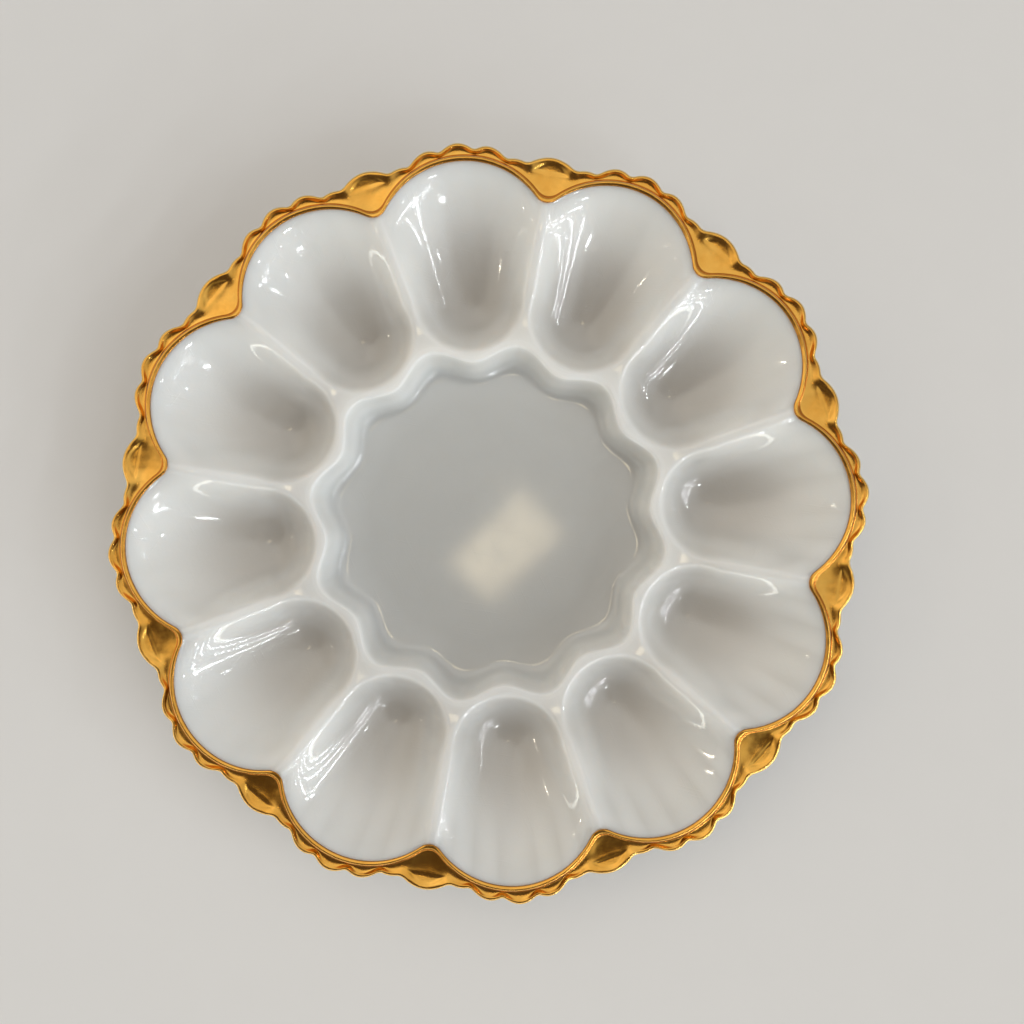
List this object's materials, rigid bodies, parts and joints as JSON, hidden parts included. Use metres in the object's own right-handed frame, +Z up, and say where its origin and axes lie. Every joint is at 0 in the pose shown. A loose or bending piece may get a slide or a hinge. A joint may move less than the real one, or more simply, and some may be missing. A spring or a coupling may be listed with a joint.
{
  "type": "egg plate",
  "caption": "Round pressed milk-glass serving plate with egg-shaped wells around a flat centre dish and a fired gold band on its scalloped rim.",
  "frame": {"origin": "on the table, under the middle of the plate", "axes": "+Z up along the plate's axis, +X along the middle of one egg well"},
  "size_m": [0.2476, 0.2476, 0.03],
  "materials": {
    "milk_glass": "fire-polished opal glass, glossy and faintly translucent",
    "fired_gold": "bright fired gold, slightly rippled"
  },
  "bodies": {
    "root": {"milk_glass_plate": "milk_glass", "gold_rim_band": "fired_gold"}
  },
  "joints": []
}
